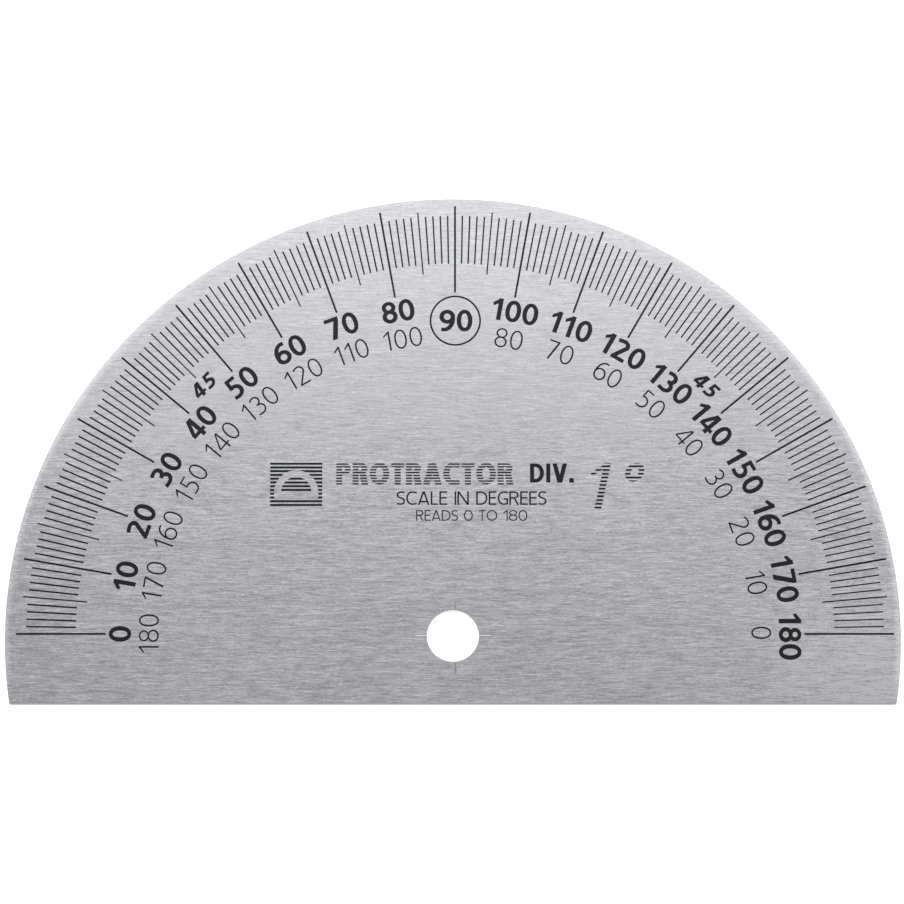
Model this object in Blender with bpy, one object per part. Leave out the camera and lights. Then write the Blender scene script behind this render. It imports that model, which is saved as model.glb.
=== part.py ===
"""Half-round steel protractor plate, lying flat with its reading face up.

Metres, +Z up.  The straight datum edge faces -Y and the round edge +Y.  The
origin is the middle of the bounding box on the underside of the plate.
"""

import math

import bmesh
import bpy

MM = 0.001

# Blank
PLATE_RADIUS = 45.0 * MM
DATUM_DROP = 6.9 * MM
THICKNESS = 1.0 * MM
EDGE_BREAK = 0.08 * MM
HOLE_RADIUS = 2.62 * MM
ARC_STEPS = 200
HOLE_STEPS = 72

# Place of the blank's centre, and of the scale's vertex measured from it
BLANK_CENTRE_Y = (DATUM_DROP - PLATE_RADIUS) / 2.0
SCALE_SHIFT_X = 0.22 * MM
SCALE_SHIFT_Y = 0.18 * MM

# Etched lines: inner radius, outer radius, width
TEN_DEGREE_LINE = (35.1 * MM, 44.1 * MM, 0.205 * MM)
FIVE_DEGREE_LINE = (37.1 * MM, 43.6 * MM, 0.14 * MM)
SCALE_SPAN = 180
SCALE_STEP = 5

# Ring round the middle numeral, its centre measured from the scale's vertex
RING_SHIFT_X = 0.03 * MM
RING_CENTRE_RADIUS = 32.18 * MM
RING_OUTER_RADIUS = 2.61 * MM
RING_STROKE = 0.185 * MM
RING_STEPS = 64

# Cross-hair: V grooves from the hole outwards, left without enamel.  The arms
# run to -X, +Y, +X and -Y, and their crossing is measured from the vertex.
HAIR_REACHES = (4.10 * MM, 3.40 * MM, 3.70 * MM, 4.15 * MM)
HAIR_WIDTH = 0.16 * MM
HAIR_DEPTH = 0.03 * MM
HAIR_SHIFT_X = 0.03 * MM
HAIR_SHIFT_Y = -0.10 * MM

# Etching and its enamel
ETCH_DEPTH = 0.10 * MM
ENAMEL_SET_BACK = 0.02 * MM
ENAMEL_CLEARANCE = 0.005 * MM
CUTTER_RISE = 0.5 * MM

SMOOTH_ANGLE = math.radians(30.0)

STEEL = ("brushed_stainless", (0.62, 0.62, 0.64, 1.0), 1.0, 0.36)
ENAMEL = ("black_enamel", (0.012, 0.012, 0.013, 1.0), 0.0, 0.42)


def clear_scene():
    for item in list(bpy.data.objects):
        bpy.data.objects.remove(item, do_unlink=True)


def make_material(name, look):
    finish, colour, metallic, roughness = look
    material = bpy.data.materials.new(f"{finish}_{name}")
    material.use_nodes = True
    shader = material.node_tree.nodes["Principled BSDF"]
    shader.inputs["Base Color"].default_value = colour
    shader.inputs["Metallic"].default_value = metallic
    shader.inputs["Roughness"].default_value = roughness
    material.diffuse_color = colour
    return material


def make_object(name, verts, faces, look=None):
    mesh = bpy.data.meshes.new(name)
    mesh.from_pydata(verts, [], faces)
    shape = bmesh.new()
    shape.from_mesh(mesh)
    bmesh.ops.recalc_face_normals(shape, faces=shape.faces[:])
    shape.to_mesh(mesh)
    shape.free()
    mesh.shade_smooth()
    mesh.set_sharp_from_angle(angle=SMOOTH_ANGLE)
    item = bpy.data.objects.new(name, mesh)
    bpy.context.scene.collection.objects.link(item)
    if look is not None:
        mesh.materials.append(make_material(name, look))
    return item


def vertex_point():
    """Centre of the scale, where its 0 and 180 degree lines meet."""
    return SCALE_SHIFT_X, BLANK_CENTRE_Y + SCALE_SHIFT_Y


def blank_outline(inset):
    """Outline of the half-round blank, moved inwards by the inset."""
    radius = PLATE_RADIUS - inset
    drop = DATUM_DROP - inset
    low = -math.asin(drop / radius)
    sweep = math.pi - 2.0 * low
    points = []
    for step in range(ARC_STEPS + 1):
        angle = low + sweep * step / ARC_STEPS
        x = radius * math.cos(angle)
        y = BLANK_CENTRE_Y + radius * math.sin(angle)
        points.append((x, y))
    return points


def circle(centre, radius, steps):
    points = []
    for step in range(steps):
        angle = 2.0 * math.pi * step / steps
        x = centre[0] + radius * math.cos(angle)
        y = centre[1] + radius * math.sin(angle)
        points.append((x, y))
    return points


def stack(name, levels, look=None):
    """Closed solid through equal outlines, each given at its own height."""
    count = len(levels[0][0])
    verts = [(x, y, z) for outline, z in levels for x, y in outline]
    faces = [tuple(range(count))[::-1]]
    for level in range(len(levels) - 1):
        base = level * count
        for i in range(count):
            j = (i + 1) % count
            faces.append((base + i, base + j, base + count + j, base + count + i))
    top = (len(levels) - 1) * count
    faces.append(tuple(top + i for i in range(count)))
    return make_object(name, verts, faces, look)


def broken_edges(outline_at):
    """Four levels of a plate whose top and bottom edges are bevelled."""
    return [
        (outline_at(EDGE_BREAK), 0.0),
        (outline_at(0.0), EDGE_BREAK),
        (outline_at(0.0), THICKNESS - EDGE_BREAK),
        (outline_at(EDGE_BREAK), THICKNESS),
    ]


def ray_point(centre, degrees, reach, side):
    """Point along a ray from the centre and off to one side, 0 degrees to -X."""
    angle = math.radians(degrees)
    x = centre[0] - math.cos(angle) * reach - math.sin(angle) * side
    y = centre[1] + math.sin(angle) * reach - math.cos(angle) * side
    return x, y


def line_outline(degrees, line, clearance):
    """Rectangle along one ray of the scale."""
    inner, outer, width = line
    near = inner + clearance
    far = outer - clearance
    half = width / 2.0 - clearance
    centre = vertex_point()
    corners = ((near, -half), (far, -half), (far, half), (near, half))
    return [ray_point(centre, degrees, reach, side) for reach, side in corners]


def ring_solid(name, clearance, z_low, z_high, look=None):
    """Upright-walled ring round the middle numeral."""
    vertex = vertex_point()
    centre = (vertex[0] + RING_SHIFT_X, vertex[1] + RING_CENTRE_RADIUS)
    outer = circle(centre, RING_OUTER_RADIUS - clearance, RING_STEPS)
    inner = circle(centre, RING_OUTER_RADIUS - RING_STROKE + clearance, RING_STEPS)
    loops = ((outer, z_low), (outer, z_high), (inner, z_high), (inner, z_low))
    verts = [(x, y, z) for points, z in loops for x, y in points]
    faces = []
    for k in range(len(loops)):
        this = k * RING_STEPS
        following = ((k + 1) % len(loops)) * RING_STEPS
        for i in range(RING_STEPS):
            j = (i + 1) % RING_STEPS
            faces.append((this + i, this + j, following + j, following + i))
    return make_object(name, verts, faces, look)


def scale_lines():
    """Degrees, name stem and size of each line that is a piece of its own."""
    for degrees in range(0, SCALE_SPAN + 1, SCALE_STEP):
        if degrees % (2 * SCALE_STEP) == 0:
            yield degrees, "line_ten", TEN_DEGREE_LINE
        else:
            yield degrees, "line_five", FIVE_DEGREE_LINE


def hole_cutter():
    """Through cutter that also breaks both edges of the centre hole."""
    centre = (0.0, BLANK_CENTRE_Y)
    flare = EDGE_BREAK + CUTTER_RISE
    wide = circle(centre, HOLE_RADIUS + flare, HOLE_STEPS)
    plain = circle(centre, HOLE_RADIUS, HOLE_STEPS)
    levels = [
        (wide, -CUTTER_RISE),
        (plain, EDGE_BREAK),
        (plain, THICKNESS - EDGE_BREAK),
        (wide, THICKNESS + CUTTER_RISE),
    ]
    return stack("cut_hole", levels)


def hair_cutter(quarter, reach):
    """V groove of one cross-hair arm: a three-sided bar that starts inside the hole."""
    vertex = vertex_point()
    centre = (vertex[0] + HAIR_SHIFT_X, vertex[1] + HAIR_SHIFT_Y)
    section = (
        (-HAIR_WIDTH, THICKNESS + HAIR_DEPTH),
        (0.0, THICKNESS - HAIR_DEPTH),
        (HAIR_WIDTH, THICKNESS + HAIR_DEPTH),
    )
    verts = []
    for distance in (HOLE_RADIUS / 2.0, reach):
        for side, z in section:
            verts.append((*ray_point(centre, 90.0 * quarter, distance, side), z))
    faces = [(0, 1, 2), (3, 4, 5), (0, 1, 4, 3), (1, 2, 5, 4), (2, 0, 3, 5)]
    return make_object(f"cut_hair_{quarter}", verts, faces)


def cut(body, cutter):
    cutter.hide_render = True
    cutter.display_type = "WIRE"
    modifier = body.modifiers.new(cutter.name, "BOOLEAN")
    modifier.operation = "DIFFERENCE"
    modifier.solver = "EXACT"
    modifier.object = cutter


def build_plate():
    plate = stack("plate", broken_edges(blank_outline), STEEL)
    cut(plate, hole_cutter())
    for quarter, reach in enumerate(HAIR_REACHES):
        cut(plate, hair_cutter(quarter, reach))
    floor = THICKNESS - ETCH_DEPTH
    above = THICKNESS + CUTTER_RISE
    for degrees, stem, line in scale_lines():
        outline = line_outline(degrees, line, 0.0)
        cut(plate, stack(f"cut_{stem}_{degrees:03d}", [(outline, floor), (outline, above)]))
    cut(plate, ring_solid("cut_ring_ninety", 0.0, floor, above))


def build_enamel():
    floor = THICKNESS - ETCH_DEPTH
    top = THICKNESS - ENAMEL_SET_BACK
    for degrees, stem, line in scale_lines():
        outline = line_outline(degrees, line, ENAMEL_CLEARANCE)
        stack(f"{stem}_{degrees:03d}", [(outline, floor), (outline, top)], ENAMEL)
    ring_solid("ring_ninety", ENAMEL_CLEARANCE, floor, top, ENAMEL)


clear_scene()
build_plate()
build_enamel()
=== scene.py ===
"""Looks of the half-round steel protractor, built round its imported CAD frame.

Objects are in metres, +Z up, in the CAD's own frame.  Everything on the plate is
drawn in millimetres on its plane, from the vertex of the scale: x to the reader's
right and y away from the datum edge.
"""

import math

import bmesh
import bpy
import numpy as np
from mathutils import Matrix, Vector
from mathutils.geometry import delaunay_2d_cdt

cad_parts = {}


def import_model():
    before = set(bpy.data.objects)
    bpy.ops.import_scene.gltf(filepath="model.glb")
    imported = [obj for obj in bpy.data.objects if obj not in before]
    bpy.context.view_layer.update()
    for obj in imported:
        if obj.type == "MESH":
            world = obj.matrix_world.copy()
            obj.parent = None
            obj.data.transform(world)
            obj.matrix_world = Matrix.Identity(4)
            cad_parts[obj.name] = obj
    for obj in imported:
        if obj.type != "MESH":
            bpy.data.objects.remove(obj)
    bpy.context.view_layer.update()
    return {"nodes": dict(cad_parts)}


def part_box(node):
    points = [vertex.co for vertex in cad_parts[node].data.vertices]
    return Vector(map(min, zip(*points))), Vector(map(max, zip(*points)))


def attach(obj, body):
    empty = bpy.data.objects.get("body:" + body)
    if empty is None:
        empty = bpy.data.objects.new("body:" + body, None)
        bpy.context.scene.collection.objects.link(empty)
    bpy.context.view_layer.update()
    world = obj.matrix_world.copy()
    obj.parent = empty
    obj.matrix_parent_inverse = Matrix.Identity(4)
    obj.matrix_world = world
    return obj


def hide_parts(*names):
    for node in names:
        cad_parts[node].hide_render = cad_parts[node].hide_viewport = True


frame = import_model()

MM = 0.001

# Blank, in millimetres: its edges are rounded, and its face is worn near the arc
DATUM_DROP = 6.9
EDGE_BREAK = 0.06
EDGE_STEPS = 6
ROLL_WIDTH = 0.65
ROLL_DEPTH = 0.07
ROLL_STEPS = 6
ROLL_FADE = 4.0
ROLL_STOP = 3.0 * EDGE_BREAK
CORNER_RADIUS = 0.15
CORNER_STEPS = 5
ARC_STEPS = 480
HOLE_RADIUS = 2.62
HOLE_STEPS = 120
HOLE_CLEAR_SHARE = 0.6

# Etched recesses and the enamel in them
ETCH_DEPTH = 0.10
ENAMEL_SET_BACK = 0.02
ENAMEL_CLEARANCE = 0.004

# Lines of the scale: inner radius, outer radius, width.  The 1 degree lines grow
# thinner from the 0 end to the 180 end.
TEN_DEGREE_LINE = (35.1, 44.1, 0.205)
FIVE_DEGREE_LINE = (37.1, 43.6, 0.14)
ONE_DEGREE_LINE = (38.1, 43.1, 0.175)
ONE_DEGREE_END_WIDTH = 0.136
RING_OUTER_RADIUS = 2.61
RING_STROKE = 0.185

# Cross-hair grooves: reach of the -X, +Y, +X and -Y arms, and the crossing's place
HAIR_REACHES = (4.10, 3.40, 3.70, 4.15)
HAIR_WIDTH = 0.13
HAIR_DEPTH = 0.02
HAIR_RUN_OUT = 0.20
HAIR_CENTRE = (0.03, -0.10)

# Faces of the lettering.  Steps are the distances from one figure to the next:
# round to round, 1 to round, round to 1, and 1 to 1.  Shifts are for numerals of
# one, two and three figures.
OUTER_FACE = {
    "height": 2.26,
    "stem": 0.455,
    "bar": 0.395,
    "stretch": 1.0,
    "lean": 0.0,
    "steps": (1.76, 1.38, 1.40, 1.43),
    "shifts": (0.0, 0.06, 0.27),
}
INNER_FACE = {
    "height": 2.02,
    "stem": 0.18,
    "bar": 0.17,
    "stretch": 1.0,
    "lean": 0.0,
    "steps": (1.56, 1.13, 1.13, 1.10),
    "shifts": (-0.12, 0.12, 0.05),
}
SMALL_FACE = {
    "height": 1.55,
    "stem": 0.385,
    "bar": 0.31,
    "stretch": 1.1,
    "lean": 0.15,
    "steps": (1.42, 1.42, 1.42, 1.42),
    "shifts": (0.0, 0.0, 0.0),
}
TITLE_FACE = {"height": 2.25, "stem": 0.62, "bar": 0.46, "stretch": 1.0, "lean": 0.0}
SCALE_FACE = {"height": 1.40, "stem": 0.17, "bar": 0.16, "stretch": 1.30, "lean": 0.0}
RANGE_FACE = {"height": 1.10, "stem": 0.12, "bar": 0.12, "stretch": 1.3, "lean": 0.0}
DIVISION_FACE = {"height": 1.97, "stem": 0.42, "bar": 0.38, "stretch": 1.0, "lean": 0.0}
INTERVAL_FACE = {"height": 4.70, "stem": 0.70, "bar": 0.44, "stretch": 1.0, "lean": 0.22}

# Radii of the middle of each row of numerals
OUTER_RADIUS = 33.65
INNER_RADIUS = 30.76
FORTY_FIVE_RADIUS = 36.0

# Legend: left, right and baseline of each line of text, and the emblem's two corners
TITLE_LINE = (-12.0, 5.86, 15.25)
SCALE_LINE = (-5.89, 9.24, 13.17)
RANGE_LINE = (-3.93, 7.29, 11.54)
DIVISION_LINE = (7.57, 12.0, 15.46)
INTERVAL_LINE = (12.9, 18.3, 12.8)
EMBLEM_BOX = (-18.67, 13.05, -13.4, 17.5)

# Hatching of the legend: distance from stripe to stripe, and each stripe's width
TITLE_STRIPES = (0.29, 0.155)
INTERVAL_STRIPES = (0.385, 0.20)
EMBLEM_STRIPES = (0.385, 0.225)
HATCH_OVERHANG = 1.0

# Emblem: the protractor's base, radius and band as shares of the field
EMBLEM_BASE = 0.33
EMBLEM_RADIUS = 0.42
EMBLEM_BAND = 0.13

# Camera: aimed at a point of the top face, tilted off the plate's normal
AIM = (-0.306, 18.603)
VIEW_TILT = math.radians(10.81)
VIEW_DISTANCE = 580.9
LENS = 228.92
SENSOR = 36.0
CLIP_NEAR = 0.01
CLIP_FAR = 100.0

# Light: a tent that is brighter toward both sides and toward the horizon.  Each range
# gives the direction's X or Z part where the change starts and ends.
SIDE_RANGE = (0.10, 0.45)
HORIZON_RANGE = (0.32, 0.0)
MIDDLE_LIGHT = 0.49
SIDE_LIGHT = 0.90
HORIZON_LIGHT = 0.88
TENT_COLOUR = (0.99, 0.987, 1.0, 1.0)

# A near panel over the arc and the floor, in metres and watts
PANEL_PLACE = (0.0, 0.09, 0.12)
PANEL_SIZE = (0.40, 0.10)
PANEL_POWER = 0.207
FLOOR_HALF = 1.5
FLOOR_GAP = 0.00002
FLOOR_GLOW = 0.93

# Fades along the frame's X or Y: value before, value after, and the two places, in
# millimetres, between which it changes.  The streaks are stronger near the datum edge,
# painted shade darkens the left end, and painted light lightens the corner at the right.
STREAK_FADE = (1.45, 0.78, -6.0, 6.0)
LEFT_PAINTED_SHADE = (0.32, 0.5, -45.0, -37.0)
CORNER_LIGHT_X = (0.0, 0.36, 20.0, 44.0)
CORNER_LIGHT_Y = (1.0, 0.0, -24.0, -10.0)

# Dashes of the brushing: length of a line and of the gaps in it, the noise below which
# a line is gone, how sharply it comes back, and the step in seed from line to gaps
DASH_LENGTH = 1.5
GAP_LENGTH = 0.32
GAP_LEVEL = 0.38
GAP_SHARPNESS = 4.0
GAP_SEED = 10.0

# Material slots of the plate, after the brushed one
CUT = 1
BORED = 2
SCRIBED = 3
# Slot of the +Y and -Y cross-hair arms: the groove steel made darker with painted shade
SHADED_GROOVE = 4

# Making the meshes: fineness of curves, sharpest smooth edge, distance within which two
# points are one, least length of the sum of two edges' unit normals, least doubled area
# of a triangle, snapping of crossing edges, and steps of a search by halves
CURVE_STEP_DEG = 7.5
SMOOTH_ANGLE = math.radians(18.0)
MERGE_DISTANCE = 1e-4
SHARPEST_TURN = 0.3
SMALLEST_AREA = 1e-10
SNAP_DISTANCE = 1e-5
HALVINGS = 50


# ---------------------------------------------------------------- places from the CAD frame

def middle(node, axis):
    """Middle of a CAD node along one axis, in millimetres."""
    low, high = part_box(node)
    return (low[axis] + high[axis]) / 2.0 / MM


plate_low, plate_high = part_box("plate")
VERTEX = (middle("line_ten_090", 0), middle("line_ten_000", 1))
TOP = plate_high.z / MM
UNDERSIDE = plate_low.z / MM
PLATE_RADIUS = (plate_high.x - plate_low.x) / 2.0 / MM
ROLL_START = PLATE_RADIUS - EDGE_BREAK - ROLL_WIDTH
BLANK_CENTRE = (middle("plate", 0) - VERTEX[0], plate_low.y / MM + DATUM_DROP - VERTEX[1])
RING_CENTRE = (middle("ring_ninety", 0) - VERTEX[0], middle("ring_ninety", 1) - VERTEX[1])


def world(x, y, z):
    """Point in metres from plate millimetres and a height."""
    return ((x + VERTEX[0]) * MM, (y + VERTEX[1]) * MM, z * MM)


# ---------------------------------------------------------------- lettering, in figure heights


def oval(cx, cy, rx, ry, start=0.0, end=360.0, power=1.0):
    """Points along an ellipse, in degrees from +X; a power under 1 squares its shoulders."""
    sweep = end - start
    steps = max(2, math.ceil(abs(sweep) / CURVE_STEP_DEG))
    count = steps if abs(sweep) == 360.0 else steps + 1
    points = []
    for step in range(count):
        angle = math.radians(start + sweep * step / steps)
        c = math.cos(angle)
        s = math.sin(angle)
        x = cx + rx * math.copysign(abs(c) ** power, c)
        y = cy + ry * math.copysign(abs(s) ** power, s)
        points.append((x, y))
    return points


def curve(start, control, end, steps=4):
    """Points along a quadratic curve."""
    points = []
    for step in range(steps + 1):
        t = step / steps
        weights = ((1.0 - t) ** 2, 2.0 * t * (1.0 - t), t * t)
        axes = zip(start, control, end)
        points.append(tuple(sum(a * b for a, b in zip(weights, axis)) for axis in axes))
    return points


def ring(cx, cy, rx, ry, w, h, power=1.0):
    return [(oval(cx, cy, rx, ry, power=power), oval(cx, cy, rx - w, ry - h, power=power))]


def box(x0, y0, x1, y1):
    return [([(x0, y0), (x1, y0), (x1, y1), (x0, y1)], None)]


def poly(*points):
    return [(list(points), None)]


def stroke(path, w, h):
    """Stroke along a path by a pen w wide and h high, with its ends cut square."""
    left = []
    right = []
    last = len(path) - 1
    for i, (x, y) in enumerate(path):
        before = path[max(i - 1, 0)]
        after = path[min(i + 1, last)]
        dx = after[0] - before[0]
        dy = after[1] - before[1]
        run = math.hypot(dx, dy)
        nx, ny = -dy / run, dx / run
        reach = math.hypot(nx * w / 2.0, ny * h / 2.0)
        left.append((x + nx * reach, y + ny * reach))
        right.append((x - nx * reach, y - ny * reach))
    return [(left + right[::-1], None)]


def slant(x0, x1, thick, y0=0.0, y1=1.0):
    """Leaning bar: its left edge runs from (x0, y0) to (x1, y1), and it is level at both ends."""
    return poly((x0, y0), (x0 + thick, y0), (x1 + thick, y1), (x1, y1))


def bow(x0, y0, x1, y1, w, h, flat):
    """D-shaped stroke between two heights, straight from x0 as far as flat."""
    top = y1 - h / 2.0
    low = y0 + h / 2.0
    round_part = oval(flat, (top + low) / 2.0, x1 - w / 2.0 - flat, (top - low) / 2.0, 90.0, -90.0)
    return stroke([(x0, top)] + round_part + [(x0, low)], w, h)


def figure_width(w):
    """Width of a round figure, which grows with the stem."""
    return 0.615 + 0.7 * (w - 0.07)


def zero(w, h):
    width = figure_width(w)
    return ring(width / 2, 0.5, width / 2, 0.5, w, h, 0.94), width


def one(w, h):
    flag = 0.245
    tip = 1.0 - 0.92 * flag
    stem = box(flag, 0.0, flag + w, 1.0)
    top = (flag + 0.3 * w, 1.0)
    upper = (0.0, tip)
    lower = (0.20 * w, tip - 0.85 * h)
    root = (flag + 0.1 * w, 0.98 - 1.25 * h)
    return stem + poly(top, upper, lower, root), flag + w


def two(w, h):
    width = 0.92 * figure_width(w)
    cx = 0.45 * width
    cy = 0.735
    top = 1.0 - h / 2
    bowl = oval(cx, cy, 0.93 * width - w / 2 - cx, top - cy, 90, -32)
    hook = curve((0.0, 0.85), (0.5 * cx, top), (cx, top))[:-1]
    return stroke(hook + bowl + [(0.62 * w, 0.8 * h)], w, h) + box(0.0, 0.0, width, h), width


def three(w, h):
    width = 0.87 * figure_width(w)
    middle = 0.525
    top = 1.0 - h / 2
    low = h / 2
    cx = 0.42 * width
    upper = oval(cx, (top + middle) / 2, 0.92 * width - w / 2 - cx, (top - middle) / 2, 90, -90)
    lower = oval(cx, (low + middle) / 2, width - w / 2 - cx, (middle - low) / 2, 90, -90)
    hook = curve((0.02, 0.86), (0.5 * cx, top), (cx, top))[:-1]
    tail = curve((cx, low), (0.45 * cx, low), (0.0, low + 0.03))[1:]
    bar = box(0.34 * width, middle - h / 2, cx, middle + h / 2)
    return stroke(hook + upper, w, h) + stroke(lower + tail, w, h) + bar, width


def four(w, h):
    width = figure_width(w) * (1.09 - 0.36 * w)
    stem = 0.80 * width
    bar_low = 0.255 - h / 2
    bar_top = bar_low + 0.94 * h
    peak = stem - 1.3 * w
    rise = 1.0 - bar_top
    thick = 0.85 * w * math.hypot(peak, rise) / rise
    counter_top = bar_top + (stem - w - thick) * rise / peak
    outer = [
        (0.0, bar_low),
        (width, bar_low),
        (width, bar_top),
        (stem, bar_top),
        (stem, 1.0),
        (peak, 1.0),
        (0.0, bar_top + 0.02),
    ]
    counter = [(thick, bar_top), (stem - w, bar_top), (stem - w, counter_top)]
    return [(outer, counter)] + box(stem - w, 0.0, stem, bar_low), width


def five(w, h):
    width = figure_width(w) * (0.81 + 0.15 * w)
    edge = 0.11 * width
    top = box(edge, 1.0 - 0.95 * h, 0.94 * width, 1.0)
    crest = 0.64 - 0.38 * h
    low = h / 2
    cx = 0.38 * width
    bowl = oval(cx, (crest + low) / 2, width - w / 2 - cx, (crest - low) / 2, 90, -90)
    tail = curve((cx, low), (0.45 * cx, low), (0.0, low + 0.03))[1:]
    lead = [(edge + 0.25 * w, crest - 0.03)]
    foot = (edge - 0.12 * w, crest - 0.03 - h / 2)
    stem = poly((edge, 1.0), (edge + 0.86 * w, 1.0), (edge + 0.80 * w, crest), foot)
    return top + stem + stroke(lead + bowl + tail, w, h), width


def six(w, h):
    width = figure_width(w)
    bowl = ring(width / 2, 0.322, width / 2, 0.322, w, h)
    reach = 0.70 * width
    top = 1.0 - h / 2
    neck = oval(reach, 0.40, reach - w / 2, top - 0.40, 180, 90) + [(0.88 * width, top - 0.015)]
    return bowl + stroke(neck, w, h), width


def seven(w, h):
    width = figure_width(w) * (0.82 + 0.54 * w)
    lean = 1.18 * w
    foot = width * (0.30 - 0.65 * w)
    bar = box(0.0, 1.0 - h, width, 1.0)
    shoulder = [(width, 1.0 - 0.95 * h), (width, 1.0 - 0.5 * h), (width - lean, 1.0 - h)]
    return bar + poly((foot, 0.0), (foot + lean, 0.0), *shoulder), width


def eight(w, h):
    width = figure_width(w) * (1.02 - 0.26 * w)
    middle = 0.53
    top = (1.0 - middle + h / 2) / 2
    low = (middle + h / 2) / 2
    upper = ring(width / 2, 1.0 - top, 0.45 * width, top, 0.94 * w, 0.94 * h)
    lower = ring(width / 2, low, width / 2, low, w, h)
    return upper + lower, width


def nine(w, h):
    patches, width = six(w, h)
    return moved(patches, lambda x, y: (width - x, 1.0 - y)), width


def letter_a(w, h):
    width = 0.56 + w
    thick = 1.08 * w
    middle = width / 2
    left = slant(0.0, middle - 0.55 * thick, thick)
    right = slant(width - thick, middle - 0.45 * thick, thick)
    return left + right + box(0.22 * width, 0.18, 0.78 * width, 0.18 + h), width


def letter_c(w, h):
    width = 0.50 + 0.85 * w
    cx = width * 0.56
    top = 1.0 - h / 2
    low = h / 2
    arc = oval(cx, 0.5, cx - w / 2, 0.5 - h / 2, 90, 270)
    head = curve((width, 0.90 - 0.12 * h), (0.84 * width, top), (cx, top))[:-1]
    tail = curve((cx, low), (0.84 * width, low), (width, 0.10 + 0.12 * h))[1:]
    return stroke(head + arc + tail, w, h), width


def letter_d(w, h):
    width = 0.56 + 0.75 * w
    return box(0.0, 0.0, w, 1.0) + bow(0.5 * w, 0.0, width, 1.0, w, h, 0.40 * width), width


def letter_e(w, h):
    width = 0.40 + 0.4 * w
    bars = box(0.0, 0.0, width, h) + box(0.0, 1.0 - h, width, 1.0)
    return bars + box(0.0, 0.52 - h / 2, 0.92 * width, 0.52 + h / 2) + box(0.0, 0.0, w, 1.0), width


def letter_g(w, h):
    patches, width = letter_c(w, h)
    spur = box(width - w, 0.09, width, 0.50)
    return patches + spur + box(0.58 * width, 0.50 - h, width, 0.50), width


def letter_i(w, h):
    return box(0.0, 0.0, w, 1.0), w


def letter_l(w, h):
    width = 0.38 + 0.35 * w
    return box(0.0, 0.0, w, 1.0) + box(0.0, 0.0, width, h), width


def letter_n(w, h):
    width = 0.54 + w
    stems = box(0.0, 0.0, w, 1.0) + box(width - w, 0.0, width, 1.0)
    return stems + slant(width - 1.2 * w, 0.0, 1.2 * w), width


def letter_o(w, h):
    width = 0.68 + 0.75 * w
    return ring(width / 2, 0.5, width / 2, 0.5, w, h, 0.97), width


def letter_p(w, h):
    width = 0.44 + 0.8 * w
    return box(0.0, 0.0, w, 1.0) + bow(0.5 * w, 0.44, width, 1.0, w, h, 0.50 * width), width


def letter_r(w, h):
    width = 0.46 + 0.85 * w
    bowl = bow(0.5 * w, 0.46, 0.97 * width, 1.0, w, h, 0.50 * width)
    leg = slant(width - 1.05 * w, 0.42 * width, 1.1 * w, 0.0, 0.46 + h / 2)
    return box(0.0, 0.0, w, 1.0) + bowl + leg, width


def letter_s(w, h):
    width = 0.42 + 0.5 * w
    top = 1.0 - h / 2
    low = h / 2
    middle = 0.51
    cx = width * 0.52
    head = curve((0.94 * width, 0.90 - 0.1 * h), (0.75 * width, top), (cx, top))[:-1]
    upper = oval(cx, (top + middle) / 2, cx - w / 2, (top - middle) / 2, 90, 225)
    lower = oval(width - cx, (low + middle) / 2, cx - w / 2, (middle - low) / 2, 45, -90)
    tail = curve((width - cx, low), (0.25 * width, low), (0.04 * width, 0.10 + 0.1 * h))[1:]
    return stroke(head + upper + lower + tail, w, h), width


def letter_t(w, h):
    width = 0.46 + 0.5 * w
    return box(0.0, 1.0 - h, width, 1.0) + box((width - w) / 2, 0.0, (width + w) / 2, 1.0), width


def letter_v(w, h):
    width = 0.54 + w
    thick = 1.08 * w
    middle = width / 2
    left = slant(middle - 0.55 * thick, 0.0, thick)
    return left + slant(middle - 0.45 * thick, width - thick, thick), width


def full_stop(w, h):
    return box(0.0, 0.0, 1.1 * w, 1.1 * w), 1.1 * w


def degree_sign(w, h):
    return ring(0.17 + w / 4, 0.83 - w / 4, 0.17 + w / 4, 0.17 + w / 4, 0.8 * w, 0.8 * w), 0.34 + w / 2


def space(w, h):
    return [], 0.28


GLYPHS = {
    "0": zero,
    "1": one,
    "2": two,
    "3": three,
    "4": four,
    "5": five,
    "6": six,
    "7": seven,
    "8": eight,
    "9": nine,
    "A": letter_a,
    "C": letter_c,
    "D": letter_d,
    "E": letter_e,
    "G": letter_g,
    "I": letter_i,
    "L": letter_l,
    "N": letter_n,
    "O": letter_o,
    "P": letter_p,
    "R": letter_r,
    "S": letter_s,
    "T": letter_t,
    "V": letter_v,
    ".": full_stop,
    "°": degree_sign,
    " ": space,
}


def glyph(character, face):
    """Patches in millimetres from the glyph's left edge and baseline, and its width."""
    w = face["stem"] / face["height"] / face["stretch"]
    h = face["bar"] / face["height"]
    patches, width = GLYPHS[character](w, h)
    across = face["height"] * face["stretch"]
    lean = face["lean"]
    sized = moved(patches, lambda x, y: ((x + lean * y) * across, y * face["height"]))
    return sized, width * across


def moved(patches, rule):
    """The patches with every point put through a rule."""
    out = []
    for loops in patches:
        out.append(tuple(None if loop is None else [rule(x, y) for x, y in loop] for loop in loops))
    return out


def shifted(patches, dx, dy):
    return moved(patches, lambda x, y: (x + dx, y + dy))


def number_label(text, face):
    """Numeral in millimetres, its ink centred on x = face shift and on y = 0.

    A round figure is spaced by its middle and a 1 by its stem.
    """
    laid = []
    at = 0.0
    previous = None
    for character in text:
        patches, width = glyph(character, face)
        anchor = width - face["stem"] / 2 if character == "1" else width / 2
        if previous is not None:
            at += face["steps"][(previous == "1") + 2 * (character == "1")]
        laid += shifted(patches, at - anchor, -face["height"] / 2)
        previous = character
    xs = [x for outer, inner in laid for x, y in outer]
    return shifted(laid, face["shifts"][len(text) - 1] - (min(xs) + max(xs)) / 2, 0.0)


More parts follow.
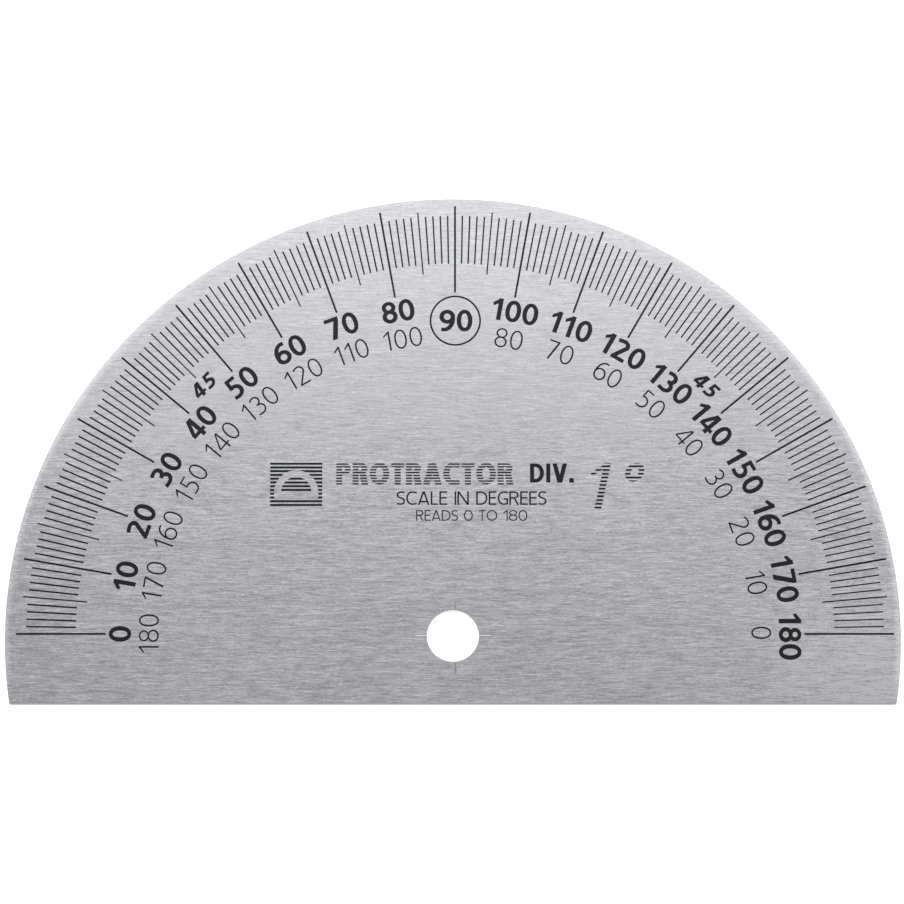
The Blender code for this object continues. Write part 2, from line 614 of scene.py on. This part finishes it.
def text_between(text, face, x0, x1, y0):
    """Line of text whose letter gaps are set so that it fills x0 to x1, on the baseline y0."""
    glyphs = [glyph(character, face) for character in text]
    gap = (x1 - x0 - sum(width for patches, width in glyphs)) / (len(text) - 1)
    laid = []
    x = x0
    for patches, width in glyphs:
        laid += shifted(patches, x, y0)
        x += width + gap
    return laid


# ---------------------------------------------------------------- marks on the plate

def on_scale(patches, degrees, radius):
    """Turns upright patches to stand on a circle of the scale, 0 degrees at -X."""
    angle = math.radians(180.0 - degrees)
    c = math.cos(angle)
    s = math.sin(angle)
    return moved(patches, lambda x, y: ((radius + y) * c + x * s, (radius + y) * s - x * c))


def scale_line(degrees, line):
    inner, outer, width = line
    return on_scale(box(-width / 2, inner, width / 2, outer), degrees, 0.0)


def one_degree_lines():
    inner, outer, width = ONE_DEGREE_LINE
    thinning = (width - ONE_DEGREE_END_WIDTH) / 180.0
    patches = []
    for degrees in range(1, 180):
        if degrees % 5:
            patches += scale_line(degrees, (inner, outer, width - thinning * degrees))
    return patches


def cad_marks():
    """Recesses of the lines and the ring whose enamel is in the CAD frame."""
    patches = ring(*RING_CENTRE, RING_OUTER_RADIUS, RING_OUTER_RADIUS, RING_STROKE, RING_STROKE)
    for degrees in range(0, 181, 5):
        patches += scale_line(degrees, FIVE_DEGREE_LINE if degrees % 10 else TEN_DEGREE_LINE)
    return patches


def numerals(face, radius, number_at):
    """Labels of one row of the scale, without the middle one."""
    patches = []
    for degrees in range(0, 181, 10):
        if degrees != 90:
            label = number_label(str(number_at(degrees)), face)
            patches += on_scale(label, degrees, radius)
    return patches


def emblem():
    """Square field with the outline of a half-round protractor left plain in it."""
    x0, y0, x1, y1 = EMBLEM_BOX
    side = x1 - x0
    cx = (x0 + x1) / 2
    base = y0 + EMBLEM_BASE * (y1 - y0)
    radius = EMBLEM_RADIUS * side
    band = EMBLEM_BAND * side
    field = box(*EMBLEM_BOX)[0][0]
    foot = [(cx - radius, base - band), (cx + radius, base - band)]
    disc = oval(cx, base, radius, radius, 0.0, 180.0) + foot
    window = oval(cx, base, radius - band, radius - band, 0.0, 180.0)
    return [(field, disc), (window, None)]


def stripes(x0, y0, x1, y1, pitch, width):
    """Level bars from the bottom of a rectangle up."""
    count = round((y1 - y0 - width) / pitch) + 1
    bars = []
    for k in range(count):
        bars += box(x0, y0 + k * pitch, x1, y0 + k * pitch + width)
    return bars


def text_mark(text, face, line):
    x0, x1, baseline = line
    return text_between(text, face, x0, x1, baseline)


def text_stripes(face, line, pattern):
    """Stripes over a whole line of text."""
    x0, x1, baseline = line
    left = x0 - HATCH_OVERHANG
    right = x1 + HATCH_OVERHANG
    return stripes(left, baseline, right, baseline + face["height"], *pattern)


def all_marks():
    """Each mark's name, its patches, and the stripes that cut it where it is hatched."""
    outer = numerals(OUTER_FACE, OUTER_RADIUS, lambda degrees: degrees)
    inner = numerals(INNER_FACE, INNER_RADIUS, lambda degrees: 180 - degrees)
    forty_five = number_label("45", SMALL_FACE)
    return [
        (None, cad_marks(), None),
        ("enamel_one_degree_lines", one_degree_lines(), None),
        ("enamel_numerals_outer", outer, None),
        ("enamel_numerals_inner", inner, None),
        ("enamel_forty_five_left", on_scale(forty_five, 45.0, FORTY_FIVE_RADIUS), None),
        ("enamel_forty_five_right", on_scale(forty_five, 135.0, FORTY_FIVE_RADIUS), None),
        ("enamel_ninety", shifted(number_label("90", OUTER_FACE), *RING_CENTRE), None),
        ("enamel_emblem", emblem(), stripes(*EMBLEM_BOX, *EMBLEM_STRIPES)),
        (
            "enamel_title",
            text_mark("PROTRACTOR", TITLE_FACE, TITLE_LINE),
            text_stripes(TITLE_FACE, TITLE_LINE, TITLE_STRIPES),
        ),
        ("enamel_scale_line", text_mark("SCALE IN DEGREES", SCALE_FACE, SCALE_LINE), None),
        ("enamel_range_line", text_mark("READS 0 TO 180", RANGE_FACE, RANGE_LINE), None),
        ("enamel_division", text_mark("DIV.", DIVISION_FACE, DIVISION_LINE), None),
        (
            "enamel_interval",
            text_mark("1°", INTERVAL_FACE, INTERVAL_LINE),
            text_stripes(INTERVAL_FACE, INTERVAL_LINE, INTERVAL_STRIPES),
        ),
    ]


# ---------------------------------------------------------------- outline of the plate

def blank_outline(inset):
    """Half-round outline moved inwards, with its two corners slightly rounded."""
    reach = PLATE_RADIUS - CORNER_RADIUS
    drop = DATUM_DROP - CORNER_RADIUS
    side = math.sqrt(reach ** 2 - drop ** 2)
    turn = math.degrees(math.asin(drop / reach))
    small = CORNER_RADIUS - inset
    cx, cy = BLANK_CENTRE
    points = arc_points(cx + side, cy - drop, small, -90.0, -turn, CORNER_STEPS)[:-1]
    points += arc_points(cx, cy, PLATE_RADIUS - inset, -turn, 180.0 + turn, ARC_STEPS)
    points += arc_points(cx - side, cy - drop, small, 180.0 + turn, 270.0, CORNER_STEPS)[1:]
    return points


def arc_points(cx, cy, radius, start, end, steps):
    points = []
    for step in range(steps + 1):
        angle = math.radians(start + (end - start) * step / steps)
        points.append((cx + radius * math.cos(angle), cy + radius * math.sin(angle)))
    return points


def roll_dip(x, y):
    """How far the face falls away near the arc.

    It falls most where the arc lies across the brushing, and not at all at the datum
    edge.
    """
    dx = x - BLANK_CENTRE[0]
    dy = y - BLANK_CENTRE[1]
    share = min(max((math.hypot(dx, dy) - ROLL_START) / ROLL_WIDTH, 0.0), 1.0)
    across = (dx / PLATE_RADIUS) ** 2
    fade = min(max((dy + DATUM_DROP) / ROLL_FADE, 0.0), 1.0)
    return ROLL_DEPTH * share ** 2 * across * fade


def roll_paths():
    """Arcs that carry the worn edge's curve, short of the datum edge."""
    low = math.degrees(math.asin((DATUM_DROP - ROLL_STOP) / PLATE_RADIUS))
    paths = []
    for step in range(ROLL_STEPS):
        radius = ROLL_START + ROLL_WIDTH * step / ROLL_STEPS
        paths.append(arc_points(*BLANK_CENTRE, radius, -low, 180.0 + low, ARC_STEPS))
    return paths


def hair_point(quarter, reach, side):
    """Point along one arm of the cross-hair and off to its side."""
    angle = math.radians(180.0 - 90.0 * quarter)
    c = math.cos(angle)
    s = math.sin(angle)
    return HAIR_CENTRE[0] + reach * c + side * s, HAIR_CENTRE[1] + reach * s - side * c


def hair_start(quarter, side):
    """Angle round the hole, in degrees, where a line along the arm leaves it."""
    radius = HOLE_RADIUS + EDGE_BREAK
    near = 0.0
    far = 2.0 * radius
    for _ in range(HALVINGS):
        reach = (near + far) / 2.0
        x, y = hair_point(quarter, reach, side)
        if math.hypot(x - BLANK_CENTRE[0], y - BLANK_CENTRE[1]) < radius:
            near = reach
        else:
            far = reach
    return math.degrees(math.atan2(y - BLANK_CENTRE[1], x - BLANK_CENTRE[0])) % 360.0


def turn_between(one_angle, other_angle):
    """Smaller turn between two directions, in degrees."""
    return abs((one_angle - other_angle + 180.0) % 360.0 - 180.0)


def hole_angles():
    """Angles of the hole's points, with the cross-hair's corners and middles among them.

    An even step that falls close to one of those is left out.
    """
    corners = {hair_start(quarter, side * HAIR_WIDTH / 2) for quarter in range(4) for side in (-1, 1)}
    middles = {hair_start(quarter, 0.0) for quarter in range(4)}
    special = corners | middles
    spacing = 360.0 / HOLE_STEPS
    angles = set(special)
    for step in range(HOLE_STEPS):
        angle = step * spacing
        if all(turn_between(angle, other) > HOLE_CLEAR_SHARE * spacing for other in special):
            angles.add(angle)
    return sorted(angles), middles


def hole_outline(angles, growth):
    points = []
    for angle in angles:
        points += arc_points(*BLANK_CENTRE, HOLE_RADIUS + growth, angle, angle, 1)[:1]
    return points


def hair_loops(quarter, reach):
    """Outline and middle line of one groove, which runs out to a point."""
    half = HAIR_WIDTH / 2
    rim = HOLE_RADIUS + EDGE_BREAK
    sides = (-half, 0.0, half)
    starts = [arc_points(*BLANK_CENTRE, rim, hair_start(quarter, side), 0.0, 1)[0] for side in sides]
    shoulders = [hair_point(quarter, reach - HAIR_RUN_OUT, side) for side in sides]
    tip = hair_point(quarter, reach, 0.0)
    outline = [starts[0], shoulders[0], tip, shoulders[2], starts[2]]
    return outline, [starts[1], shoulders[1], tip]


# ---------------------------------------------------------------- cutting up the plate's faces

def inside(loop, points):
    """Which points lie inside a closed loop, by its winding number."""
    start = np.asarray(loop)
    end = np.roll(start, -1, axis=0)
    x = points[:, :1]
    y = points[:, 1:]
    rising = (start[:, 1] <= y) & (end[:, 1] > y)
    falling = (start[:, 1] > y) & (end[:, 1] <= y)
    side = (end[:, 0] - start[:, 0]) * (y - start[:, 1]) - (x - start[:, 0]) * (end[:, 1] - start[:, 1])
    return (rising & (side > 0)).sum(1) != (falling & (side < 0)).sum(1)


def inside_any(patches, points):
    """Which points lie in at least one patch: in its outer loop and not in its inner one."""
    found = np.zeros(len(points), bool)
    for outer, inner in patches:
        low = np.min(outer, axis=0)
        high = np.max(outer, axis=0)
        near = np.flatnonzero(((points >= low) & (points <= high)).all(1) & ~found)
        hit = inside(outer, points[near])
        if inner is not None:
            hit &= ~inside(inner, points[near])
        found[near[hit]] = True
    return found


def triangulated(loops, paths=()):
    """Triangles of the plane that keep every edge of the loops and the open paths."""
    points = []
    edges = []
    for loop in loops:
        first = len(points)
        points += loop
        edges += [(first + i, first + (i + 1) % len(loop)) for i in range(len(loop))]
    for path in paths:
        first = len(points)
        points += path
        edges += [(first + i, first + i + 1) for i in range(len(path) - 1)]
    corners = [Vector(p) for p in points]
    made = delaunay_2d_cdt(corners, edges, [], 0, SNAP_DISTANCE, False)
    spots = np.array([(p.x, p.y) for p in made[0]])
    triangles = np.array([tuple(face) for face in made[2]])
    a, b, c = (spots[triangles[:, k]] for k in range(3))
    area = (b[:, 0] - a[:, 0]) * (c[:, 1] - a[:, 1]) - (b[:, 1] - a[:, 1]) * (c[:, 0] - a[:, 0])
    triangles[area < 0] = triangles[area < 0][:, ::-1]
    triangles = triangles[np.abs(area) > SMALLEST_AREA]
    return spots, triangles, spots[triangles].mean(1)


def border_edges(triangles):
    """Edges of a set of triangles that only one of them has, each with the set to its left."""
    edges = {(a, b) for t in triangles.tolist() for a, b in ((t[0], t[1]), (t[1], t[2]), (t[2], t[0]))}
    return [(a, b) for a, b in edges if (b, a) not in edges]


class Shell:
    """Points and faces gathered for one mesh, in plate millimetres."""

    def __init__(self):
        self.points = []
        self.faces = []
        self.smooth = []
        self.slots = []

    def add(self, points, faces, smooth=False, slot=0):
        first = len(self.points)
        self.points += points
        self.faces += [tuple(first + i for i in face) for face in faces]
        self.smooth += [smooth] * len(faces)
        self.slots += [slot] * len(faces)

    def build(self, name):
        """Closed mesh object, with touching points joined."""
        mesh = bpy.data.meshes.new(name)
        mesh.from_pydata([world(*p) for p in self.points], [], self.faces)
        mesh.polygons.foreach_set("use_smooth", self.smooth)
        mesh.polygons.foreach_set("material_index", self.slots)
        shape = bmesh.new()
        shape.from_mesh(mesh)
        bmesh.ops.remove_doubles(shape, verts=shape.verts[:], dist=MERGE_DISTANCE * MM)
        loose = [v for v in shape.verts if not v.link_faces]
        bmesh.ops.delete(shape, geom=loose, context="VERTS")
        for edge in shape.edges:
            rounded = all(face.smooth for face in edge.link_faces)
            edge.smooth = rounded and edge.calc_face_angle() < SMOOTH_ANGLE
        shape.to_mesh(mesh)
        shape.free()
        item = bpy.data.objects.new(name, mesh)
        bpy.context.scene.collection.objects.link(item)
        return item


def edge_profile():
    """Inset and height of each level down the plate's edge: rounded, upright, rounded."""
    upper = []
    for step in range(EDGE_STEPS + 1):
        angle = math.radians(90.0 * step / EDGE_STEPS)
        upper.append((EDGE_BREAK * (1.0 - math.sin(angle)), EDGE_BREAK * (1.0 - math.cos(angle))))
    profile = [(inset, TOP - depth) for inset, depth in upper]
    return profile + [(inset, UNDERSIDE + depth) for inset, depth in reversed(upper)]


def add_wall(shell, levels, slot):
    """Strips of faces down a stack of equal outlines, facing out where they run anticlockwise."""
    count = len(levels[0])
    points = [p for level in levels for p in level]
    faces = []
    for k in range(len(levels) - 1):
        for i in range(count):
            j = (i + 1) % count
            faces.append((k * count + i, (k + 1) * count + i, (k + 1) * count + j, k * count + j))
    shell.add(points, faces, smooth=True, slot=slot)


def make_plate(marks):
    """The plate with its rounded edges, hole, cross-hair and etched recesses."""
    angles, middles = hole_angles()
    outline = blank_outline(EDGE_BREAK)
    rim = hole_outline(angles, EDGE_BREAK)
    grooves = [hair_loops(quarter, reach) for quarter, reach in enumerate(HAIR_REACHES)]
    loops = [outline, rim] + [groove[0] for groove in grooves]
    for name, patches, bars in marks:
        loops += [loop for patch in patches + (bars or []) for loop in patch if loop is not None]
    spots, triangles, centres = triangulated(loops, [groove[1] for groove in grooves] + roll_paths())
    kept = ~inside(rim, centres)
    triangles = triangles[kept]
    centres = centres[kept]
    owner = np.full(len(triangles), -1)
    for number, (name, patches, bars) in enumerate(marks):
        hit = inside_any(patches, centres)
        if bars:
            hit &= inside_any(bars, centres)
        owner[hit] = number

    heights = np.array([TOP - roll_dip(x, y) for x, y in spots.tolist()])
    lowered = [p for outline_loop, line in grooves for p in line[:2]]
    for point in lowered:
        heights[np.hypot(*(spots - point).T) < MERGE_DISTANCE] = TOP - HAIR_DEPTH
    shell = Shell()
    face_points = [(x, y, z) for (x, y), z in zip(spots.tolist(), heights.tolist())]
    scribed = inside_any([(groove[0], None) for groove in grooves[::2]], centres)
    # The +Y and -Y arms take a darker copy of the groove steel, which is painted shade
    shaded_arms = inside_any([(groove[0], None) for groove in grooves[1::2]], centres)
    grooved = scribed | shaded_arms
    rolled = np.hypot(*(centres - BLANK_CENTRE).T) > ROLL_START
    plain = owner < 0
    shell.add(face_points, triangles[scribed].tolist(), slot=SCRIBED)
    shell.add(face_points, triangles[shaded_arms].tolist(), slot=SHADED_GROOVE)
    shell.add(face_points, triangles[plain & ~rolled & ~grooved].tolist())
    shell.add(face_points, triangles[plain & rolled].tolist(), smooth=True)
    floor_points = [(x, y, TOP - ETCH_DEPTH) for x, y in spots.tolist()]
    etched = triangles[owner >= 0]
    shell.add(floor_points, etched.tolist())
    sides = border_edges(etched)
    count = len(spots)
    shell.add(face_points + floor_points, [(count + b, count + a, a, b) for a, b in sides])

    profile = edge_profile()
    dips = [roll_dip(x, y) for x, y in outline]
    half = len(profile) // 2
    levels = []
    for k, (inset, z) in enumerate(profile):
        points = blank_outline(inset)
        levels.append([(x, y, z - dip * (k < half)) for (x, y), dip in zip(points, dips)])
    add_wall(shell, levels, CUT)
    hole_levels = []
    for inset, z in profile:
        level = []
        for angle, (x, y) in zip(angles, hole_outline(angles, inset)):
            level.append((x, y, min(z, TOP - HAIR_DEPTH) if angle in middles else z))
        hole_levels.append(level[::-1])
    add_wall(shell, hole_levels[: EDGE_STEPS + 1], CUT)
    add_wall(shell, hole_levels[EDGE_STEPS : EDGE_STEPS + 2], BORED)
    add_wall(shell, hole_levels[EDGE_STEPS + 1 :], CUT)

    under, under_triangles, under_centres = triangulated([outline, rim])
    under_triangles = under_triangles[~inside(rim, under_centres)][:, ::-1]
    shell.add([(x, y, UNDERSIDE) for x, y in under.tolist()], under_triangles.tolist())
    return shell.build("steel_plate"), spots, triangles, owner


def drawn_in(spots, sides, distance):
    """Points of a region's border moved into it, by the same distance from both edges there."""
    pull = np.zeros_like(spots)
    for a, b in sides:
        along = (spots[b] - spots[a]) / np.hypot(*(spots[b] - spots[a]))
        pull[[a, b]] += (-along[1], along[0])
    size = np.hypot(*pull.T)
    turned = size > SHARPEST_TURN
    out = spots.copy()
    out[turned] += pull[turned] * (2.0 * distance / size[turned] ** 2)[:, None]
    return out


def make_enamel(name, spots, triangles):
    """Enamel filling of one mark's recesses, set back a little from the face."""
    sides = border_edges(triangles)
    places = drawn_in(spots, sides, ENAMEL_CLEARANCE).tolist()
    count = len(places)
    top = TOP - ENAMEL_SET_BACK
    low = TOP - ETCH_DEPTH + ENAMEL_CLEARANCE
    points = [(x, y, top) for x, y in places] + [(x, y, low) for x, y in places]
    faces = triangles.tolist()
    faces += (triangles[:, ::-1] + count).tolist()
    faces += [(a, count + a, count + b, b) for a, b in sides]
    shell = Shell()
    shell.add(points, faces)
    return shell.build(name)


def map_brushing(item):
    """UV map in millimetres: U runs along the brushing, or round the plate on its edge."""
    mesh = item.data
    layer = mesh.uv_layers.new(name="brushing")
    for face in mesh.polygons:
        normal = face.normal
        across = Vector((-normal.y, normal.x, 0.0))
        upright = abs(normal.z) < 0.5
        for corner in face.loop_indices:
            place = mesh.vertices[mesh.loops[corner].vertex_index].co / MM
            if upright:
                layer.data[corner].uv = (place.dot(across.normalized()), place.z)
            else:
                layer.data[corner].uv = (place.x, place.y)


# ---------------------------------------------------------------- materials

class Nodes:
    """Short calls for building one material's node tree."""

    def __init__(self, name):
        self.material = bpy.data.materials.new(name)
        self.material.use_nodes = True
        self.tree = self.material.node_tree
        self.shader = self.tree.nodes["Principled BSDF"]
        self.place = self.add("ShaderNodeTexCoord").outputs["Object"]

    def add(self, kind, **values):
        node = self.tree.nodes.new(kind)
        for key, value in values.items():
            setattr(node, key, value)
        return node

    def link(self, source, target):
        self.tree.links.new(source, target)

    def noise(self, size, seed, detail=2.0):
        """Noise whose features are about size millimetres along each axis."""
        mapping = self.add("ShaderNodeMapping")
        mapping.inputs["Scale"].default_value = [1.0 / (s * MM) for s in size]
        mapping.inputs["Location"].default_value = (seed, 2.7 * seed, 5.1 * seed)
        self.link(self.place, mapping.inputs["Vector"])
        noise = self.add("ShaderNodeTexNoise")
        noise.inputs["Scale"].default_value = 1.0
        noise.inputs["Detail"].default_value = detail
        self.link(mapping.outputs["Vector"], noise.inputs["Vector"])
        return noise.outputs["Fac"]

    def fade(self, axis, near, far, low, high):
        """Value that goes smoothly from near to far between two places along an axis."""
        axes = self.add("ShaderNodeSeparateXYZ")
        self.link(self.place, axes.inputs["Vector"])
        ramp = self.add("ShaderNodeMapRange", interpolation_type="SMOOTHSTEP")
        self.link(axes.outputs[axis], ramp.inputs["Value"])
        ramp.inputs["From Min"].default_value = low * MM
        ramp.inputs["From Max"].default_value = high * MM
        ramp.inputs["To Min"].default_value = near
        ramp.inputs["To Max"].default_value = far
        return ramp.outputs["Result"]

    def dashes(self, seed, width):
        """Straight scratches along X, broken into short dashes, about 0.5."""
        line = self.noise((DASH_LENGTH, width, width), seed, detail=0.0)
        gate = self.noise((GAP_LENGTH, width, width), seed + GAP_SEED, detail=0.0)
        sharp = self.math("MULTIPLY", self.math("SUBTRACT", gate, GAP_LEVEL), GAP_SHARPNESS)
        share = self.math("MINIMUM", self.math("MAXIMUM", sharp, 0.0), 1.0)
        return self.math("ADD", self.math("MULTIPLY", self.math("SUBTRACT", line, 0.5), share), 0.5)

    def math(self, operation, a, b):
        node = self.add("ShaderNodeMath", operation=operation)
        for socket, value in zip(node.inputs, (a, b)):
            if isinstance(value, (int, float)):
                socket.default_value = value
            else:
                self.link(value, socket)
        return node.outputs[0]

    def blend_sum(self, terms, base):
        """base + the sum of weight * (value - 0.5)."""
        total = base - 0.5 * sum(weight for value, weight in terms)
        for value, weight in terms:
            total = self.math("ADD", self.math("MULTIPLY", value, weight), total)
        return total

    def colour(self, value, low, high):
        """Colour between two, by a value from 0 to 1."""
        mix = self.add("ShaderNodeMix", data_type="RGBA")
        self.link(value, mix.inputs["Factor"])
        mix.inputs["A"].default_value = (*low, 1.0)
        mix.inputs["B"].default_value = (*high, 1.0)
        return mix.outputs["Result"]

    def bump(self, height, depth):
        """Bump of a depth in millimetres."""
        node = self.add("ShaderNodeBump")
        node.inputs["Strength"].default_value = 1.0
        node.inputs["Distance"].default_value = depth * MM
        self.link(height, node.inputs["Height"])
        self.link(node.outputs["Normal"], self.shader.inputs["Normal"])


def brushed_steel():
    """Stainless sheet brushed along X: fine streaks, a few longer ones and faint clouding."""
    nodes = Nodes("brushed_steel")
    shader = nodes.shader
    fine = nodes.dashes(1.0, 0.08)
    coarse = nodes.dashes(2.0, 0.11)
    long = nodes.noise((16.0, 0.35, 0.35), 3.0, detail=0.0)
    grain = nodes.noise((0.25, 0.10, 0.10), 5.0, detail=0.0)
    cloud = nodes.noise((9.0, 3.0, 3.0), 4.0)
    terms = [(fine, 1.9), (coarse, 1.1), (long, 0.12), (grain, 0.4), (cloud, 0.12)]
    depth = nodes.fade("Y", *STREAK_FADE)
    # Painted light on the lower right corner and painted shade on the left end, added to the streaks'
    # colour
    painted_corner_light = nodes.math("MULTIPLY", nodes.fade("X", *CORNER_LIGHT_X), nodes.fade("Y", *CORNER_LIGHT_Y))
    tone = nodes.math("ADD", nodes.fade("X", *LEFT_PAINTED_SHADE), painted_corner_light)
    streaks = nodes.math("ADD", nodes.math("MULTIPLY", nodes.blend_sum(terms, 0.0), depth), tone)
    clamped = nodes.math("MINIMUM", nodes.math("MAXIMUM", streaks, 0.0), 1.0)
    colour = nodes.colour(clamped, (0.37, 0.368, 0.385), (0.65, 0.646, 0.677))
    nodes.link(colour, shader.inputs["Base Color"])
    rough = nodes.blend_sum([(fine, 0.15), (long, 0.06), (cloud, 0.06)], 0.36)
    nodes.link(rough, shader.inputs["Roughness"])
    shader.inputs["Metallic"].default_value = 1.0
    shader.inputs["Anisotropic"].default_value = 0.6
    shader.inputs["Anisotropic Rotation"].default_value = 0.25
    tangent = nodes.add("ShaderNodeTangent", direction_type="UV_MAP", uv_map="brushing")
    nodes.link(tangent.outputs["Tangent"], shader.inputs["Tangent"])
    nodes.bump(fine, 0.0016)
    return nodes.material


def bare_steel(name, low, high, size, roughness):
    """Steel that is not brushed: the cut edge, the hole's wall, or a scribed groove, plain or darker
    with painted shade.
    """
    nodes = Nodes(name)
    grain = nodes.noise(size, 9.0)
    nodes.link(nodes.colour(grain, low, high), nodes.shader.inputs["Base Color"])
    nodes.link(nodes.blend_sum([(grain, 0.1)], roughness), nodes.shader.inputs["Roughness"])
    nodes.shader.inputs["Metallic"].default_value = 1.0
    return nodes.material


def plate_finishes():
    """Materials of the plate, in the order of its slots."""
    edge = (0.3, 0.3, 0.12)
    groove = (0.1, 0.1, 0.1)
    return [
        brushed_steel(),
        bare_steel("cut_steel", (0.31, 0.308, 0.317), (0.43, 0.427, 0.44), edge, 0.42),
        bare_steel("bored_steel", (0.52, 0.518, 0.527), (0.64, 0.637, 0.65), edge, 0.30),
        bare_steel("scribed_steel", (0.40, 0.398, 0.405), (0.50, 0.498, 0.505), groove, 0.22),
        # Darker copy of the scribed steel: painted shade on the +Y and -Y arms
        bare_steel("shaded_groove_steel", (0.24, 0.238, 0.24), (0.32, 0.318, 0.32), groove, 0.22),
    ]


def black_enamel():
    """Enamel filling: nearly black, slightly uneven and pitted."""
    nodes = Nodes("black_enamel_fill")
    shader = nodes.shader
    patches = nodes.noise((0.5, 0.5, 0.5), 6.0)
    grain = nodes.noise((0.06, 0.06, 0.06), 7.0)
    tone = nodes.blend_sum([(patches, 0.8), (grain, 0.8)], 0.5)
    colour = nodes.colour(tone, (0.0025, 0.0025, 0.003), (0.011, 0.011, 0.012))
    nodes.link(colour, shader.inputs["Base Color"])
    nodes.link(nodes.blend_sum([(patches, 0.2), (grain, 0.2)], 0.36), shader.inputs["Roughness"])
    shader.inputs["Specular IOR Level"].default_value = 0.25
    nodes.bump(grain, 0.006)
    return nodes.material


def pale_floor():
    """White table that is lit from within, so that it stays white to the picture's edge."""
    nodes = Nodes("pale_floor")
    shader = nodes.shader
    cloud = nodes.noise((400.0, 400.0, 400.0), 8.0)
    colour = nodes.colour(cloud, (0.34, 0.34, 0.34), (0.37, 0.37, 0.37))
    nodes.link(colour, shader.inputs["Base Color"])
    shader.inputs["Roughness"].default_value = 0.9
    shader.inputs["Specular IOR Level"].default_value = 0.2
    shader.inputs["Emission Color"].default_value = (1.0, 1.0, 1.0, 1.0)
    shader.inputs["Emission Strength"].default_value = FLOOR_GLOW
    return nodes.material


# ---------------------------------------------------------------- setting

def add_floor():
    mesh = bpy.data.meshes.new("floor")
    height = plate_low.z - FLOOR_GAP
    quarters = ((-1, -1), (1, -1), (1, 1), (-1, 1))
    corners = [(x * FLOOR_HALF, y * FLOOR_HALF, height) for x, y in quarters]
    mesh.from_pydata(corners, [], [(0, 1, 2, 3)])
    floor = bpy.data.objects.new("floor", mesh)
    bpy.context.scene.collection.objects.link(floor)
    mesh.materials.append(pale_floor())


def tent_ramp(nodes, part, span, light):
    """Strength that rises from that of the middle to a given one along a part of the direction."""
    ramp = nodes.new("ShaderNodeMapRange")
    ramp.interpolation_type = "SMOOTHSTEP"
    ramp.inputs["From Min"].default_value, ramp.inputs["From Max"].default_value = span
    ramp.inputs["To Min"].default_value = MIDDLE_LIGHT
    ramp.inputs["To Max"].default_value = light
    part.id_data.links.new(part, ramp.inputs["Value"])
    return ramp.outputs["Result"]


def light_tent():
    """World light that is brighter toward -X and +X and low down than overhead."""
    look = bpy.data.worlds.new("studio")
    look.use_nodes = True
    nodes = look.node_tree.nodes
    links = look.node_tree.links
    place = nodes.new("ShaderNodeTexCoord")
    axes = nodes.new("ShaderNodeSeparateXYZ")
    aside = nodes.new("ShaderNodeMath")
    aside.operation = "ABSOLUTE"
    brighter = nodes.new("ShaderNodeMath")
    brighter.operation = "MAXIMUM"
    background = nodes["Background"]
    background.inputs["Color"].default_value = TENT_COLOUR
    links.new(place.outputs["Generated"], axes.inputs["Vector"])
    links.new(axes.outputs["X"], aside.inputs[0])
    links.new(tent_ramp(nodes, aside.outputs[0], SIDE_RANGE, SIDE_LIGHT), brighter.inputs[0])
    links.new(tent_ramp(nodes, axes.outputs["Z"], HORIZON_RANGE, HORIZON_LIGHT), brighter.inputs[1])
    links.new(brighter.outputs[0], background.inputs["Strength"])
    return look


def light_scene():
    """The tent and one panel, which points straight down."""
    bpy.context.scene.world = light_tent()
    data = bpy.data.lights.new("panel", "AREA")
    data.shape = "RECTANGLE"
    data.size, data.size_y = PANEL_SIZE
    data.energy = PANEL_POWER
    panel = bpy.data.objects.new("panel", data)
    panel.location = PANEL_PLACE
    bpy.context.scene.collection.objects.link(panel)


def add_camera():
    data = bpy.data.cameras.new("camera")
    data.sensor_width = SENSOR
    data.lens = LENS
    data.clip_start = CLIP_NEAR
    data.clip_end = CLIP_FAR
    camera = bpy.data.objects.new("camera", data)
    aim = Vector(world(*AIM, TOP))
    back = Vector((0.0, -math.sin(VIEW_TILT), math.cos(VIEW_TILT)))
    camera.location = aim + back * VIEW_DISTANCE * MM
    camera.rotation_euler = (VIEW_TILT, 0.0, 0.0)
    bpy.context.scene.collection.objects.link(camera)
    bpy.context.scene.camera = camera


# ---------------------------------------------------------------- putting it together

enamel = black_enamel()
all_the_marks = all_marks()
steel_plate, spots, triangles, owner = make_plate(all_the_marks)
map_brushing(steel_plate)
for finish in plate_finishes():
    steel_plate.data.materials.append(finish)
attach(steel_plate, "root")
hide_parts("plate")

for number, (name, patches, bars) in enumerate(all_the_marks):
    if name is not None:
        filling = make_enamel(name, spots, triangles[owner == number])
        filling.data.materials.append(enamel)
        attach(filling, "root")

for name, node in frame["nodes"].items():
    if name != "plate":
        node.material_slots[0].material = enamel

add_floor()
light_scene()
add_camera()
view = bpy.context.scene.view_settings
view.view_transform = "Standard"
view.look = "None"
